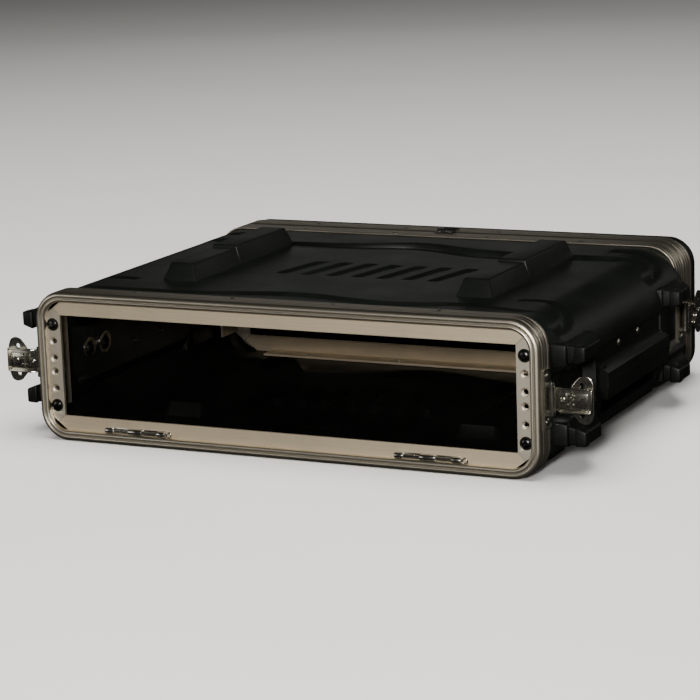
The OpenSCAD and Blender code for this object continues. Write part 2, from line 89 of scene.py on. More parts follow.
def addPiece(bm, name, body, material, nodes=(), crease=38, flip=True):
    bmesh.ops.remove_doubles(bm, verts=bm.verts, dist=0.002)
    if flip:
        bmesh.ops.recalc_face_normals(bm, faces=bm.faces)
    place = Matrix.Translation(rackCentre) @ Matrix.Scale(millimetre, 4)
    bmesh.ops.transform(bm, matrix=place, verts=bm.verts)
    mesh = bpy.data.meshes.new(name)
    bm.to_mesh(mesh)
    bm.free()
    piece = bpy.data.objects.new(name, mesh)
    bpy.context.scene.collection.objects.link(piece)
    mesh.materials.append(material)
    mesh.shade_smooth()
    mesh.set_sharp_from_angle(angle=math.radians(crease))
    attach(piece, body)
    if nodes:
        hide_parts(*nodes)
    return piece


class Graph:  # small helper that adds and joins shader nodes
    def __init__(self, name):
        self.material = bpy.data.materials.new(name)
        self.material.use_nodes = True
        self.tree = self.material.node_tree
        self.shader = self.tree.nodes["Principled BSDF"]
        self.place = self.tree.nodes.new("ShaderNodeTexCoord").outputs["Object"]

    def add(self, kind, inputs=None, **settings):
        node = self.tree.nodes.new(kind)
        for key, value in settings.items():
            setattr(node, key, value)
        for key, value in (inputs or {}).items():
            if isinstance(value, bpy.types.NodeSocket):
                self.tree.links.new(value, node.inputs[key])
            else:
                node.inputs[key].default_value = value
        return node

    def noise(self, scale, detail=3.0, rough=0.55, stretch=None, distort=0.0):
        source = self.place
        if stretch:
            source = self.add("ShaderNodeMapping", {"Vector": source, "Scale": stretch}).outputs[0]
        node = self.add("ShaderNodeTexNoise", {"Vector": source, "Scale": scale, "Detail": detail,
                                               "Roughness": rough, "Distortion": distort})
        return node.outputs["Fac"]

    def spread(self, value, low, high, toLow, toHigh):
        node = self.add("ShaderNodeMapRange", {"Value": value, "From Min": low, "From Max": high,
                                               "To Min": toLow, "To Max": toHigh})
        return node.outputs["Result"]

    def blend(self, factor, first, second):
        node = self.add("ShaderNodeMix", data_type="RGBA")
        node.inputs["Factor"].default_value = 0.5
        self.tree.links.new(factor, node.inputs["Factor"])
        for index, colour in ((6, first), (7, second)):
            if isinstance(colour, bpy.types.NodeSocket):
                self.tree.links.new(colour, node.inputs[index])
            else:
                node.inputs[index].default_value = (*colour, 1)
        return node.outputs[2]

    def sum(self, first, second, weight):
        node = self.add("ShaderNodeMath", {0: second, 1: weight, 2: first}, operation="MULTIPLY_ADD")
        return node.outputs[0]

    def finish(self, colour, roughness, height=None, bumpDistance=0.0002, bumpStrength=0.5, **fixed):
        self.tree.links.new(colour, self.shader.inputs["Base Color"])
        self.tree.links.new(roughness, self.shader.inputs["Roughness"])
        if height is not None:
            bump = self.add("ShaderNodeBump", {"Height": height, "Strength": bumpStrength,
                                               "Distance": bumpDistance})
            self.tree.links.new(bump.outputs[0], self.shader.inputs["Normal"])
        for key, value in fixed.items():
            self.shader.inputs[key.replace("_", " ")].default_value = value
        return self.material


plastic = {"dark": (0.0020, 0.0026, 0.0020), "light": (0.0042, 0.0053, 0.0041), "dust": (0.016, 0.018, 0.015),
           "rough": (0.34, 0.50), "grain": 560}


def mouldedPlastic(name, grainBump, shine):
    look = plastic
    g = Graph(name)
    cloud = g.noise(14, 4)
    speck = g.noise(900, 2)
    grain = g.noise(look["grain"], 4, 0.6)
    colour = g.blend(g.spread(cloud, 0.35, 0.68, 0, 1), look["dark"], look["light"])
    dust = g.spread(g.noise(260, 5, 0.7), 0.60, 0.78, 0, 0.30)
    colour = g.blend(dust, colour, look["dust"])
    smooth, coarse = (value * shine for value in look["rough"])
    rough = g.spread(g.sum(cloud, speck, 0.6), 0.5, 1.1, smooth, coarse)
    scuff = g.noise(38, 5, 0.7, (1, 9, 1), 0.6)
    height = g.sum(grain, scuff, 0.35)
    return g.finish(colour, rough, height, 0.00022, grainBump, IOR=1.45, Specular_IOR_Level=0.36)


# stretch draws the streaks out: the axis with the small number is the one they run along
metals = {
    "satinValance": {"colour": (0.70, 0.645, 0.53), "shade": (0.58, 0.53, 0.425), "rough": (0.30, 0.46),
                     "grain": 1500, "stretch": (5, 900, 5), "bump": 0.35},
    "satinStrip": {"colour": (0.86, 0.74, 0.55), "shade": (0.76, 0.645, 0.47), "rough": (0.52, 0.66),
                   "grain": 1100, "stretch": (14, 500, 500), "bump": 0.45},
    "satinRail": {"colour": (0.72, 0.66, 0.55), "shade": (0.64, 0.58, 0.475), "rough": (0.50, 0.64),
                  "grain": 1100, "stretch": (500, 500, 14), "bump": 0.40},
    "brightNickel": {"colour": (0.62, 0.60, 0.52), "shade": (0.50, 0.48, 0.40), "rough": (0.18, 0.30),
                     "grain": 300, "stretch": (20, 20, 60), "bump": 0.05},
    "hingeNickel": {"colour": (0.56, 0.55, 0.51), "shade": (0.44, 0.43, 0.39), "rough": (0.16, 0.28),
                    "grain": 300, "stretch": (20, 60, 60), "bump": 0.04},
    "rivetAluminium": {"colour": (0.74, 0.71, 0.64), "shade": (0.66, 0.63, 0.56), "rough": (0.22, 0.36),
                       "grain": 1500, "stretch": (200, 200, 200), "bump": 0.25},
    "zincBolt": {"colour": (0.24, 0.24, 0.22), "shade": (0.17, 0.17, 0.155), "rough": (0.18, 0.30),
                 "grain": 900, "stretch": (180, 180, 180), "bump": 0.15},
    "blackScrew": {"colour": (0.085, 0.085, 0.080), "shade": (0.055, 0.055, 0.052), "rough": (0.20, 0.32),
                   "grain": 1300, "stretch": (300, 300, 300), "bump": 0.20},
}


def satinMetal(name):
    look = metals[name]
    g = Graph(name)
    streak = g.noise(1.0, 4, 0.6, look["stretch"])
    grain = g.noise(look["grain"], 3, 0.6)
    tarnish = g.noise(17, 5, 0.6)
    base = g.blend(g.spread(streak, 0.3, 0.7, 0, 1), look["colour"], look["shade"])
    tarnished = tuple(c * 0.70 for c in look["colour"])
    base = g.blend(g.spread(tarnish, 0.48, 0.80, 0, 0.45), base, tarnished)
    roughness = g.spread(g.sum(streak, grain, 0.7), 0.5, 1.2, *look["rough"])
    return g.finish(base, roughness, g.sum(streak, grain, 0.8), 0.00006, look["bump"], Metallic=1.0)


shellPlastic = mouldedPlastic("mouldedShell", 0.55, 1.0)
smoothPlastic = mouldedPlastic("smoothBlack", 0.22, 0.85)
washerPlastic = mouldedPlastic("washerBlack", 0.10, 0.62)
valanceMetal = satinMetal("satinValance")
stripMetal = satinMetal("satinStrip")
railMetal = satinMetal("satinRail")
latchMetal = satinMetal("brightNickel")
hingeMetal = satinMetal("hingeNickel")
rivetMetal = satinMetal("rivetAluminium")
boltMetal = satinMetal("zincBolt")
screwMetal = satinMetal("blackScrew")
print("materials ready")

cameraView = {"place": (1.0199, -2.1686, 0.5771), "azimuth": 25.9, "elevation": 12.30, "roll": -2.05,
              "focal": 3.66243}  # focal length in sensor widths


def makeCamera(view):
    az, el, roll = (math.radians(view[k]) for k in ("azimuth", "elevation", "roll"))
    ahead = Vector((-math.sin(az) * math.cos(el), math.cos(az) * math.cos(el), -math.sin(el)))
    level = ahead.cross(Vector((0, 0, 1))).normalized()
    upright = level.cross(ahead)
    right = math.cos(roll) * level + math.sin(roll) * upright
    up = -math.sin(roll) * level + math.cos(roll) * upright
    data = bpy.data.cameras.new("studioCamera")
    data.sensor_width = 36
    data.lens = view["focal"] * data.sensor_width
    data.clip_start = 0.05
    data.clip_end = 60
    camera = bpy.data.objects.new("studioCamera", data)
    bpy.context.scene.collection.objects.link(camera)
    camera.matrix_world = (Matrix.Translation(view["place"]) @
                           Matrix((right, up, -ahead)).transposed().to_4x4())
    bpy.context.scene.camera = camera


# floorBox lights the floor from above and leaves no highlight on the case
softboxes = [
    {"name": "flashBox", "place": (0.90, -2.50, 0.85), "target": (0, -0.1, 0.05), "size": 0.34, "power": 66},
    {"name": "lowBox", "place": (-2.3, -2.2, 0.60), "target": (0, -0.1, 0.08), "size": 1.2, "power": 9},
    {"name": "sideBox", "place": (2.6, 0.4, 1.1), "target": (0.1, 0, 0.08), "size": 0.7, "power": 4},
    {"name": "rearBox", "place": (1.9, 3.2, 1.5), "target": (0, 0.2, 0.05), "size": 1.2, "power": 4},
    {"name": "leftBox", "place": (-3.2, 1.2, 1.2), "target": (0, 0, 0.05), "size": 0.9, "power": 3},
    {"name": "backBox", "place": (-1.6, 3.4, 1.1), "target": (0, 0.1, 0.1), "size": 1.2, "power": 1.0},
    {"name": "floorBox", "place": (0.1, -0.2, 3.2), "target": (0, 0, 0), "size": 3.0, "power": 190},
]


def makeLights(boxes):
    for box in boxes:
        data = bpy.data.lights.new(box["name"], "AREA")
        data.size = box["size"]
        data.energy = box["power"]
        data.color = (1.0, 0.975, 0.94)
        lamp = bpy.data.objects.new(box["name"], data)
        lamp.visible_glossy = box["name"] != "floorBox"
        bpy.context.scene.collection.objects.link(lamp)
        aim = Vector(box["target"]) - Vector(box["place"])
        turned = aim.to_track_quat("-Z", "Y").to_matrix().to_4x4()
        lamp.matrix_world = Matrix.Translation(box["place"]) @ turned


surround = {"seen": 1.0, "lit": 0.014}  # strength of the room to the camera, and as a light


def makeSurround(look):
    world = bpy.data.worlds.new("studio")
    bpy.context.scene.world = world
    world.use_nodes = True
    tree = world.node_tree
    backdrop = tree.nodes["Background"]
    room = tree.nodes.new("ShaderNodeBackground")
    mix = tree.nodes.new("ShaderNodeMixShader")
    path = tree.nodes.new("ShaderNodeLightPath")
    backdrop.inputs["Color"].default_value = (1, 0.995, 0.985, 1)
    backdrop.inputs["Strength"].default_value = look["seen"]
    room.inputs["Color"].default_value = (1, 0.99, 0.97, 1)
    room.inputs["Strength"].default_value = look["lit"]
    tree.links.new(path.outputs["Is Camera Ray"], mix.inputs[0])
    tree.links.new(room.outputs[0], mix.inputs[1])
    tree.links.new(backdrop.outputs[0], mix.inputs[2])
    tree.links.new(mix.outputs[0], tree.nodes["World Output"].inputs["Surface"])


def makeFloor():
    bm = bmesh.new()
    bmesh.ops.create_grid(bm, x_segments=1, y_segments=1, size=9)
    mesh = bpy.data.meshes.new("studioFloor")
    bm.to_mesh(mesh)
    bm.free()
    floor = bpy.data.objects.new("studioFloor", mesh)
    bpy.context.scene.collection.objects.link(floor)
    g = Graph("paleFloor")
    tone = g.blend(g.noise(3, 2), (0.84, 0.835, 0.82), (0.88, 0.875, 0.86))
    mesh.materials.append(g.finish(tone, g.spread(g.noise(6, 2), 0, 1, 0.72, 0.82)))
    floor.visible_glossy = False


makeCamera(cameraView)
makeLights(softboxes)
makeSurround(surround)
makeFloor()
print("camera and studio ready")

ringLow, ringHigh = nodeBox("front_valance")
valance = {"width": ringHigh.x - ringLow.x, "height": ringHigh.z - ringLow.z, "radius": 28.0, "steps": 16,
           "wrap": 24.0, "grooves": ((6.3, 7.8, 0.55), (12.2, 13.4, 0.35), (18.8, 20.3, 0.55)), "edge": 0.12}


def valanceProfile(look):  # (outwards, backwards) from the outside of the wrap and the tip of the nose
    wrap = look["wrap"]
    lip = [(-9.4, 5.8), (-9.4, 1.5), (-8.6, 0.5), (-7.4, 0.05), (-6.5, 0.4), (-6.1, 1.15), (-5.0, 1.15),
           (-4.6, 0.3)]
    nose = [(-3.6, 0.0), (-2.2, 0.35), (-1.1, 1.2), (-0.35, 2.4), (0, 4.0)]
    grooves = []
    for start, stop, deep in look["grooves"]:
        grooves += [(0, start), (-deep, start + 0.3), (-deep, stop - 0.3), (0, stop)]
    end = [(0, wrap - 0.5), (-0.5, wrap), (-1.4, wrap), (-1.8, wrap - 0.4)]
    inside = [(-1.8, 3.6), (-2.4, 2.3), (-7.6, 2.2), (-8.2, 2.8), (-8.2, 5.8)]
    return lip + nose + grooves + end + inside


def sweepRound(bm, profile, look):  # carries the profile round the four sides and corners of the ring
    radius = look["radius"]
    halfW, halfH = look["width"] / 2 - radius, look["height"] / 2 - radius
    verts = [bm.verts.new((halfW, back, halfH + radius + out)) for out, back in profile]
    edges = [bm.edges.new((verts[i - 1], verts[i])) for i in range(len(verts))]
    geom = verts + edges
    corners = [((halfW, halfH), (0, 0, -2 * halfH)), ((halfW, -halfH), (-2 * halfW, 0, 0)),
               ((-halfW, -halfH), (0, 0, 2 * halfH)), ((-halfW, halfH), (2 * halfW, 0, 0))]
    for (cx, cz), straight in corners:
        turned = bmesh.ops.spin(bm, geom=geom, cent=(cx, 0, cz), axis=(0, 1, 0), angle=math.pi / 2,
                                steps=look["steps"], use_merge=False, use_normal_flip=False,
                                use_duplicate=False)
        last = [e for e in turned["geom_last"] if isinstance(e, bmesh.types.BMEdge)]
        moved = bmesh.ops.extrude_edge_only(bm, edges=last)["geom"]
        bmesh.ops.translate(bm, vec=straight, verts=vertsOf(moved))
        geom = [g for g in moved if not isinstance(g, bmesh.types.BMFace)]
    bmesh.ops.remove_doubles(bm, verts=bm.verts, dist=0.001)


def makeValance(name, node, body, backwards=False):
    low, high = nodeBox(node)
    bm = bmesh.new()
    sweepRound(bm, valanceProfile(valance), valance)
    if backwards:
        bmesh.ops.scale(bm, vec=(1, -1, 1), verts=bm.verts)
    bmesh.ops.translate(bm, vec=(0, high.y if backwards else low.y, 0), verts=bm.verts)
    roundOver(bm, sharpEdges(bm, 30), valance["edge"], 2)
    addPiece(bm, name, body, valanceMetal, [node], crease=50)


makeValance("frontValance", "front_valance", "case")
makeValance("rearValance", "rear_valance", "case", backwards=True)
makeValance("coverValance", "cover_valance", "rear_cover")
print("valances ready")

bodyLow, bodyHigh = nodeBox("body_shell")
shell = {
    # half width, half height and corner radius, under the valances and between them
    "collar": (ringHigh.x - 1.9, ringHigh.z - 1.9, 26.1), "belly": (262.0, 66.3, 44.0), "wall": 4.0,
    "front": bodyLow.y, "back": bodyHigh.y, "ringEnd": ringHigh.y, "rearRing": nodeBox("rear_valance")[0].y,
    "flare": 13.0, "drop": 2.4,
    # raised middle of the top panel: its wavy edges as depth and (height, middle, width) of each hump
    "frontWave": (46, ((21, -13, 70), (17, 152, 45))), "rearWave": (292, ((26, 0, 55),)), "waveReach": 235,
    "stripDrop": 2.6, "padRise": 2.2, "gouge": 4.4, "shoulder": (205, 32),
    "arcRadius": 44.0, "arcMiddle": 208.0, "arcPlaces": (47.0, 282.0), "arcDepth": 3.6, "arcWidth": 3.6,
    "arcInner": 16.0, "arcFoot": 22.0,
    "barFirst": -78.0, "barPitch": 26.0, "barCount": 7, "barWidth": 13.0, "barLean": 12.0,
    "barFront": 150.0, "barBack": 214.0, "barDepth": 2.2, "barRound": 1.6,
    "treadMiddle": 149.0, "treadHalf": 19.8, "recessDepth": 11.8, "treadFront": 89.0, "treadBack": 297.0,
    "recessWall": 3.8, "recessSlope": 6.0,
    # side zones as first and last depth, then lowest and highest point
    "gripZone": (101.0, 267.0, -22.0, 25.0), "gripSink": 5.0,
    "wellZone": (107.0, 261.0, -36.0, 4.0), "wellInside": (55.0, 271.0, -40.0, 28.0), "wellSink": 19.5,
    "pocketZone": (92.0, 288.0, 21.0), "pocketSink": 11.0,
    # mesh columns of top, corner, side and bottom, and mesh rows from front to back
    "outerColumns": (236, 20, 22, 150), "outerRows": (2, 1, 3, 5, 6, 2, 12, 84, 6, 2, 6, 6, 2, 2),
    "innerColumns": (140, 12, 14, 120), "innerRows": (1, 1, 1, 2, 3, 2, 5, 40, 4, 1, 3, 3, 1, 1),
}


def waveDepth(which, x):
    base, humps = shell[which]
    x = clamp(x, -shell["waveReach"], shell["waveReach"])
    return base + sum(height * hump(x, middle, wide) for height, middle, wide in humps)


def sectionAt(y, inset):  # half width, half height and corner radius of the shell at a depth
    s = shell
    ahead, behind = y - s["ringEnd"], s["rearRing"] - y
    swell = min(ease((ahead - 0.5) / s["flare"]), ease((behind - 0.5) / s["flare"]))
    drop = min(ease((ahead - 0.3) / s["drop"]), ease((behind - 0.3) / s["drop"]))
    (cw, ch, cr), (bw, bh, br) = s["collar"], s["belly"]
    return cw + (bw - cw) * swell - inset, ch + (bh - ch) * drop - inset, cr + (br - cr) * swell - inset


def rowDepth(v, x, rows):  # depth of a row; rows gather along the two wavy edges
    s = shell
    front, back = waveDepth("frontWave", x), waveDepth("rearWave", x)
    marks = [s["front"], s["ringEnd"] + 0.2, s["ringEnd"] + 2.0, s["ringEnd"] + 4.5, s["ringEnd"] + 15,
             front - 1.2, front + 1.2, 92, back - 14, back - 1.1, back + 1.1, s["rearRing"] - 13,
             s["rearRing"] - 3, s["rearRing"] - 0.2, s["back"]]
    at = v * sum(rows)
    for i, count in enumerate(rows):
        if at <= count or i == len(rows) - 1:
            return marks[i] + (marks[i + 1] - marks[i]) * at / count
        at -= count


def columnShare(t):  # columns of the top panel stand closer together over the sunk bars
    edges = [(0.0, 0.0), (0.20, 0.29), (0.80, 0.75), (1.0, 1.0)]
    for (t0, s0), (t1, s1) in zip(edges, edges[1:]):
        if t <= t1:
            return s0 + (s1 - s0) * (t - t0) / (t1 - t0)
    return 1.0


def outlinePoint(u, a, b, r, counts):  # point, outward direction, distance from the middle of its side, part
    top, corner, side, bottom = counts
    runs = [top, corner, side, corner, bottom, corner, side, corner]
    at = u * sum(runs)
    index = 0
    while index < 7 and at > runs[index]:
        at -= runs[index]
        index += 1
    t = at / runs[index]
    flat, tall = a - r, b - r
    if index == 0:
        x = -flat + 2 * flat * columnShare(t)
        return x, b, 0.0, 1.0, x, "top"
    if index == 4:
        x = flat - 2 * flat * t
        return x, -b, 0.0, -1.0, x, "bottom"
    sign = 1.0 if index < 4 else -1.0
    if index in (2, 6):
        z = sign * (tall - 2 * tall * t)
        return sign * a, z, sign, 0.0, z, "side"
    turn = ((index - 1) / 2 + t) * math.pi / 2
    nx, nz = math.sin(turn), math.cos(turn)
    around = (t if index in (1, 5) else 1 - t) * r * math.pi / 2
    z = (tall if index in (1, 7) else -tall) + r * nz
    return sign * flat + r * nx, z, nx, nz, sign * (flat + around), "corner"


def arcGroove(s, y):  # bracket-shaped groove that turns over the shoulder
    look = shell
    depth = 0.0
    for middle in look["arcPlaces"]:
        dx, dy = abs(s) - look["arcMiddle"], y - middle
        if dy >= -2:  # the round stretch
            near = abs(math.hypot(dx, dy) - look["arcRadius"])
            end = ease((dx + look["arcInner"]) / 5)
        else:  # the straight foot in front of it
            near = abs(dx - look["arcRadius"])
            end = ease((dy + look["arcFoot"]) / 6)
        if dx >= -look["arcInner"]:
            depth = max(depth, look["arcDepth"] * end * (1 - ease(near / look["arcWidth"] - 0.25)))
    return depth


def barSink(x, y):  # slanting sunk bars of the top panel
    s = shell
    if not s["barFront"] - 1 < y < s["barBack"] + 1:
        return 0.0
    lean = s["barLean"] * (y - s["barFront"]) / (s["barBack"] - s["barFront"])
    sink = 0.0
    for n in range(s["barCount"]):
        middle = s["barFirst"] + s["barPitch"] * n + s["barWidth"] / 2 + lean
        inside = min(s["barWidth"] / 2 - abs(x - middle), y - s["barFront"], s["barBack"] - y)
        sink = max(sink, s["barDepth"] * ease(inside / s["barRound"]))
    return sink


def recessShare(x, y, grow):  # 0 outside the recess that takes the tread below, 1 on its flat
    s = shell
    inside = min(s["treadHalf"] + grow - abs(abs(x) - s["treadMiddle"]), y - s["treadFront"] + grow,
                 s["treadBack"] + grow - y)
    return clamp(inside / s["recessSlope"], 0.0, 1.0)


def insideZone(y, z, zone):  # distance from the nearest edge of a side zone, negative outside it
    y0, y1, z0, z1 = zone
    return min(y - y0, y1 - y, z - z0, z1 - z)


def sideSink(y, z, skin):
    s = shell
    if skin == "outer":
        sink = max(s["gripSink"] * ease(insideZone(y, z, s["gripZone"]) / 1.8),
                   s["wellSink"] * ease(insideZone(y, z, s["wellZone"]) / 2.5))
    else:
        sink = s["wellSink"] * ease(insideZone(y, z, s["wellInside"]) / 4)
    front, back, half = s["pocketZone"]
    inside = min(max(front - y, y - back), half - abs(z) + (4 if skin == "inner" else 0))
    fade = min(ease((y - s["ringEnd"]) / 12), ease((s["rearRing"] - y) / 12))
    return max(sink, s["pocketSink"] * ease(inside / 3.5) * fade)


def relief(x, y, z, nz, s, part, skin):  # how far the surface stands out from the plain section
    look = shell
    ahead, behind = y - look["ringEnd"], look["rearRing"] - y
    if ahead <= 0 or behind <= 0:
        return 0.0
    out = 0.0
    if part != "side":
        front, back = waveDepth("frontWave", s), waveDepth("rearWave", s)
        edge, run = look["shoulder"]
        fade = 1 - ease((abs(s) - edge) / run)
        strip = look["stripDrop"] * (0.55 + 0.45 * hump(s, 25, 95)) * fade
        out -= strip * (1 - ease((y - front + 1.2) / 2.4)) * ease(ahead / 3)
        out += look["padRise"] * fade * ease((y - back + 1.1) / 2.2) * ease((behind - 0.4) / 3)
        if y < back:
            out -= look["gouge"] * hump(s, 45, 85) * ease((y - back + 30) / 27)
        out -= arcGroove(s, y)
    if part == "top":
        out -= barSink(x, y)
    if part == "bottom":
        out -= barSink(-x, y) * (2.6 if skin == "inner" else 1)
        out -= look["recessDepth"] * recessShare(x, y, 0 if skin == "outer" else look["recessWall"])
    if part in ("side", "corner") and abs(nz) < 0.85:
        out -= sideSink(y, z, skin) * abs(x) / look["belly"][0]
    return out


def rollSkin(bm, skin, counts, rows):
    top, corner, side, bottom = counts
    columns = top + bottom + 2 * side + 4 * corner
    inset = 0 if skin == "outer" else shell["wall"]
    made = bmesh.ops.create_grid(bm, x_segments=columns, y_segments=sum(rows), size=0.5)
    for vert in made["verts"]:
        u, v = vert.co.x + 0.5, vert.co.y + 0.5
        y = rowDepth(v, 0, rows)
        for _ in range(2):  # the wave is read where the point lies across the panel
            a, b, r = sectionAt(y, inset)
            x, z, nx, nz, s, part = outlinePoint(u, a, b, r, counts)
            y = rowDepth(v, s if part != "side" else shell["waveReach"], rows)
        out = relief(x, y, z, nz, s, part, skin)
        level = 1.0
        if out < -4.5 and (part == "side" or part == "corner" and skin == "outer"):
            level = 0.35  # deep wells sink sideways, hardly up or down
        vert.co = (x + nx * out, y, z + nz * out * level)
    bmesh.ops.remove_doubles(bm, verts=made["verts"], dist=0.001)


def makeShell():
    bm = bmesh.new()
    for skin in ("outer", "inner"):
        rollSkin(bm, skin, shell[skin + "Columns"], shell[skin + "Rows"])
    for depth in (shell["front"], shell["back"]):
        rims = [e for e in bm.edges if e.is_boundary and all(abs(v.co.y - depth) < 0.01 for v in e.verts)]
        bmesh.ops.bridge_loops(bm, edges=rims)
    addPiece(bm, "shellBody", "case", shellPlastic, ["body_shell"], crease=50)


# each tread is a low front part and a taller back part; slopes are the lean of their two ends
treads = [{"ends": (89.5, 184.0), "slopes": (9.0, 2.0), "halves": (12.6, 18.6), "height": 15.6},
          {"ends": (179.5, 296.5), "slopes": (3.0, 11.0), "halves": (13.4, 19.0), "height": 18.2}]


def tread(bm, x, foot, look):
    made = bmesh.ops.create_cube(bm, size=1)["verts"]
    (y0, y1), (lead, trail), (halfTop, halfFoot) = look["ends"], look["slopes"], look["halves"]
    for vert in made:
        up = vert.co.z > 0
        half = halfTop if up else halfFoot
        ends = (y0 + lead, y1 - trail) if up else (y0, y1)
        vert.co = (x + half * (1 if vert.co.x > 0 else -1), ends[1] if vert.co.y > 0 else ends[0],
                   foot + look["height"] if up else foot - 2.5)
    roundOver(bm, [e for e in edgesOf(made) if any(v.co.z > foot for v in e.verts)], 1.9, 4)


def makeTreads():
    bm = bmesh.new()
    for side in (-1, 1):
        for look in treads:
            tread(bm, side * shell["treadMiddle"], shell["belly"][1], look)
    addPiece(bm, "shellTreads", "case", shellPlastic, ["body_shell"], crease=60)


guard = {"inside": 246.5, "shelf": 262.0, "outside": 279.0, "innerLow": 22.5, "outerLow": 30.5, "top": 45.0,
         "ribs": ((246.5, 262.0), (268.5, 279.0)), "ribStep": 7.0, "ribEnd": 15.0, "round": 1.7,
         "places": ((21, 60, 88), (272, 304, 330))}  # front, end of the outer part, end of the inner part


def guardBlock(bm, y0, y1, y2):  # a web and the two ribs that stand in front of it
    g = guard
    web = [(g["inside"], y0 + 3.4), (g["outside"] - 0.6, y0 + 3.4), (g["outside"] - 0.6, y1),
           (g["shelf"], y2), (g["inside"], y2)]
    ribs = [[(a, y0), (b, y0), (b, y0 + g["ribStep"]), (b - 2, y0 + g["ribEnd"]), (a, y0 + g["ribEnd"])]
            for a, b in g["ribs"]]
    for shape in [web] + ribs:
        low = [bm.verts.new((x, y, 0)) for x, y in shape]
        base = bmesh.ops.contextual_create(bm, geom=low)["faces"]
        high = vertsOf(bmesh.ops.extrude_face_region(bm, geom=base)["geom"])
        for v in low + high:
            share = (v.co.x - g["inside"]) / (g["outside"] - g["inside"])
            floor = g["innerLow"] + (g["outerLow"] - g["innerLow"]) * share ** 1.5
            v.co.z = g["top"] - 1.5 * share if v in high else floor
            if shape is web:
                v.co.z += -0.7 if v in high else 0.7
        roundOver(bm, edgesOf(low + high), g["round"], 3)


def makeGuards():
    bm = bmesh.new()
    for place in guard["places"]:
        guardBlock(bm, *place)
    bmesh.ops.recalc_face_normals(bm, faces=bm.faces)
    for vec in ((-1, 1, 1), (1, 1, -1)):
        copied = bmesh.ops.duplicate(bm, geom=bm.verts[:] + bm.edges[:] + bm.faces[:])["geom"]
        bmesh.ops.scale(bm, vec=vec, verts=vertsOf(copied))
        bmesh.ops.reverse_faces(bm, faces=[f for f in copied if isinstance(f, bmesh.types.BMFace)])
    addPiece(bm, "shellGuards", "case", shellPlastic, ["body_shell"], crease=60)


makeShell()
makeTreads()
makeGuards()
print("shell ready")


# a node's own shape, with eased edges
def soften(node, body, material, width, segments=2, angle=32):
    mesh = frame["nodes"][node].data.copy()
    bm = bmesh.new()
    bm.from_mesh(mesh)
    bpy.data.meshes.remove(mesh)
    toMillimetres = Matrix.Scale(1 / millimetre, 4) @ Matrix.Translation(-rackCentre)
    bmesh.ops.transform(bm, matrix=toMillimetres, verts=bm.verts)
    bmesh.ops.remove_doubles(bm, verts=bm.verts, dist=0.004)
    bmesh.ops.dissolve_limit(bm, angle_limit=math.radians(1.0), verts=bm.verts, edges=bm.edges)
    piece = addPiece(bm, node + "_eased", body, material, [node], crease=angle, flip=False)
    bevel = piece.modifiers.new("easedEdges", "BEVEL")
    bevel.width = width * millimetre
    bevel.segments = segments
    bevel.limit_method = "ANGLE"
    bevel.angle_limit = math.radians(angle)
    bevel.use_clamp_overlap = True
    bevel.harden_normals = True
    return piece


def block(bm, low, high, rounding=0.35, segments=2):  # box between two corners with rounded edges
    verts = bmesh.ops.create_cube(bm, size=1)["verts"]
    for v in verts:
        v.co = [low[k] + (high[k] - low[k]) * (v.co[k] + 0.5) for k in range(3)]
    roundOver(bm, edgesOf(verts), rounding, segments)


def turning(bm, profile, middle, axis, steps=32):  # solid of revolution; profile is (along, radius)
    side = Vector((0, 1, 0)) if axis.x else Vector((1, 0, 0))
    verts = [bm.verts.new(Vector(middle) + axis * along + side * radius) for along, radius in profile]
    edges = [bm.edges.new(pair) for pair in zip(verts, verts[1:])]
    if profile[0][1] > 0.001:  # a hollow profile is closed before it turns
        edges.append(bm.edges.new((verts[-1], verts[0])))
    bmesh.ops.spin(bm, geom=verts + edges, cent=middle, axis=axis, angle=2 * math.pi, steps=steps,
                   use_merge=True, use_duplicate=False)


def cutAway(piece, cutter):  # takes the cutter out of the piece and then deletes it
    cut = piece.modifiers.new("cut", "BOOLEAN")
    cut.operation = "DIFFERENCE"
    cut.solver = "EXACT"
    cut.use_self = True
    cut.object = cutter
    bpy.context.view_layer.update()
    piece.data = bpy.data.meshes.new_from_object(piece.evaluated_get(bpy.context.evaluated_depsgraph_get()))
    piece.modifiers.clear()
    piece.data.set_sharp_from_angle(angle=math.radians(16))
    bpy.data.objects.remove(cutter)


rightward, backward, upward = Vector((1, 0, 0)), Vector((0, 1, 0)), Vector((0, 0, 1))
latchAxes = {j["name"]: Vector(j["pos_m"]) for j in frame["joints"] if "pos_m" in j}

# a link is drawn along u from its pin, with its face towards -v and its width along w
latch = {"tip": 35.6, "half": 10.4, "plate": (1.5, 2.9), "flange": -2.1, "flangeWalls": (9.7, 11.0),
         "barrel": 2.85, "barrelHalf": 10.2, "pin": 1.56, "stud": 27.0, "studRound": 3.0,
         "crossPin": (17.2, -0.5, 7.4, 1.0), "spring": (7, 0.8, 0.34, 1.55), "wing": (3.2, 4.8),
         "lobe": [(-12.2, 8.6), (-9.2, 13.6), (-3.6, 19.8), (2.2, 21.3), (6.6, 19.2), (9.1, 13.0)],
         "waist": (-6.4, 3.4), "lobeRound": 1.9, "holes": ((0, 0, 3.1), (-1.2, 13, 2.3), (-1.2, -13, 2.3))}


def placeLatch(bm, end, side):  # from link directions (u, v, w) to its place on the case
    axis = (latchAxes[f"{end}_latch_{side}_swing"] - rackCentre) / millimetre
    sign = 1 if side == "right" else -1
    for vert in bm.verts:
        u, v, w = vert.co
        x, y = (u, v) if end == "front" else (v, u)
        vert.co = (axis.x + sign * x, axis.y + y, w)


